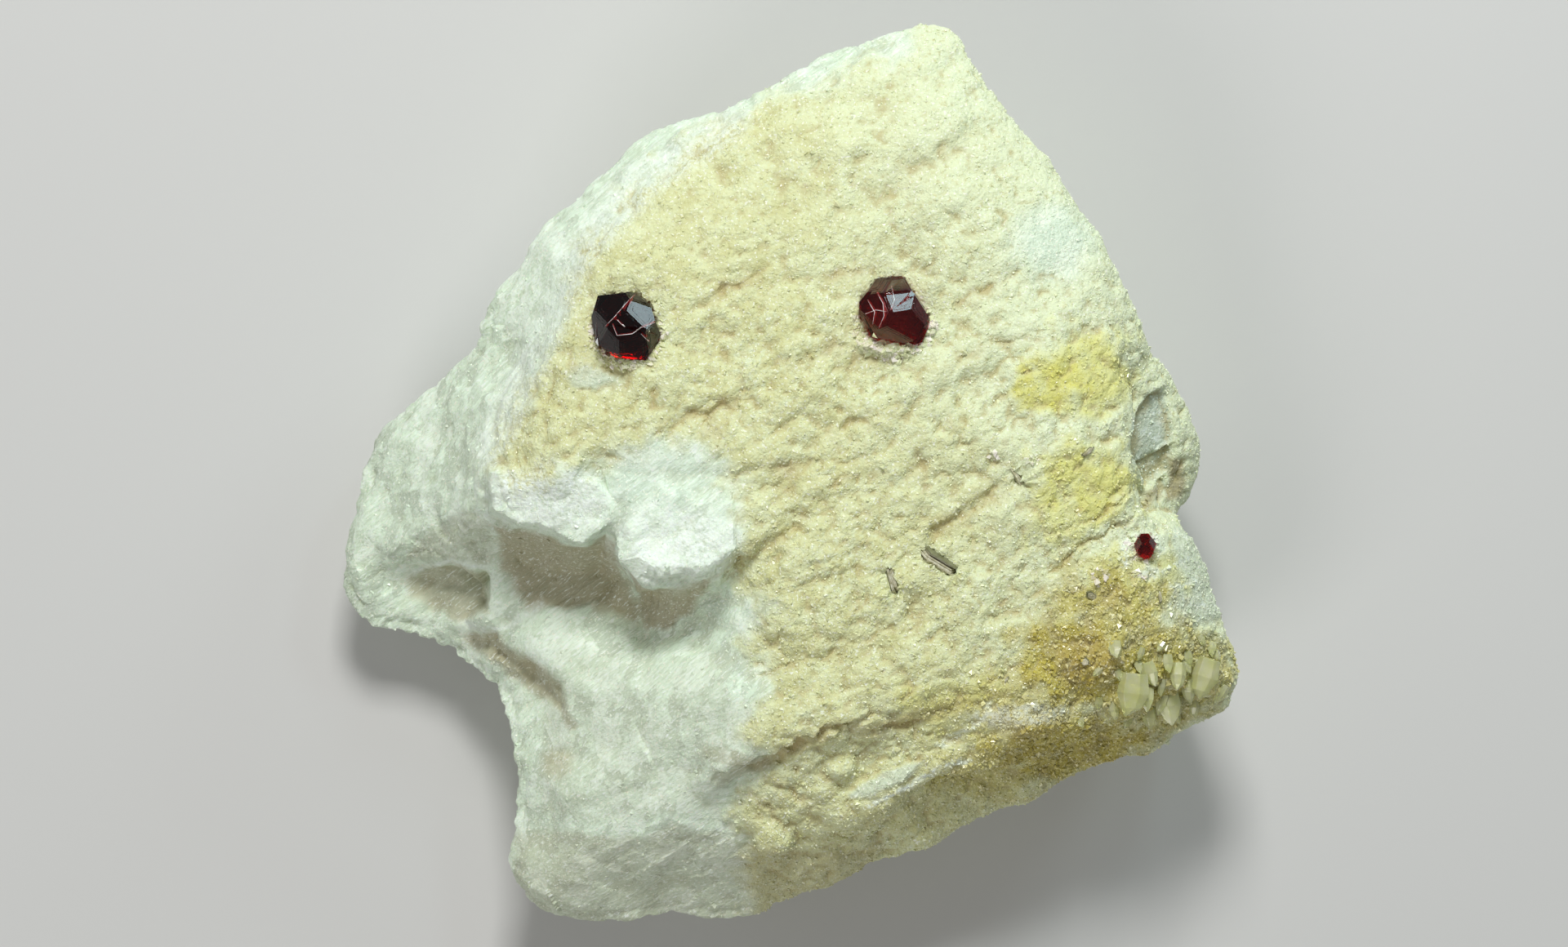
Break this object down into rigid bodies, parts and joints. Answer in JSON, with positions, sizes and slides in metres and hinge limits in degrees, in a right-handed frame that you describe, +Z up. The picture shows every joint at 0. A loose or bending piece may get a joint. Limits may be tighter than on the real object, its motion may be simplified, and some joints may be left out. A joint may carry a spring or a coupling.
{
  "type": "spessartine garnet on matrix specimen",
  "caption": "Hand-sized mineral specimen: deep red garnet crystals and small mica blades set in a rough block of pale granular matrix, lying on its back.",
  "frame": {"origin": "in the flat that the block rests on, below the middle of the crystal-bearing face", "axes": "+Z up out of the crystal-bearing face, +X to the right and +Y to the top of that face as pictured"},
  "size_m": [0.0887, 0.0885, 0.0336],
  "materials": {
    "matrix": "rough granular break with small glinting grains, white silky cleavage at the left and ochre stains at the right",
    "garnet": "deep red vitreous crystal faces, see-through at thin edges",
    "mica": "silky olive and grey-beige blades",
    "calcite": "clear to milky, faintly yellow-green crystals"
  },
  "bodies": {
    "root": {"matrix": "matrix", "garnet_left": "garnet", "garnet_right": "garnet", "garnet_small": "garnet", "mica_blade_large": "mica", "mica_blade_low": "mica", "mica_blade_high": "mica"}
  },
  "joints": []
}
